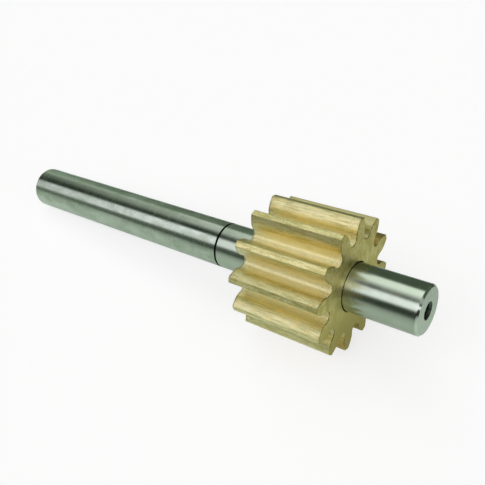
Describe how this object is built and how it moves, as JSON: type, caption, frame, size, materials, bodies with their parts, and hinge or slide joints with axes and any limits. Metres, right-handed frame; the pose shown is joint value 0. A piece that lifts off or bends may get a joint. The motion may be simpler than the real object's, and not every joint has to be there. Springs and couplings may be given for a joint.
{
  "type": "gear shaft",
  "caption": "Round drive shaft carrying a keyed wide-faced spur gear near one end, with ground journals, a ring groove and a threaded end hole.",
  "frame": {"origin": "on the shaft axis at the centre of the gear's front face, where the front journal starts", "axes": "+X along the shaft out of the short front journal; a tooth space is centred on +Z and on +Y"},
  "size_m": [0.272, 0.0684, 0.0684],
  "materials": {
    "shaft_steel": "ground, turned on the drive end",
    "gear_bronze": "machined bronze",
    "key_steel": "bright drawn key steel"
  },
  "bodies": {
    "root": {"drive_shaft": "shaft_steel", "spur_gear": "gear_bronze", "gear_key": "key_steel"}
  },
  "joints": []
}
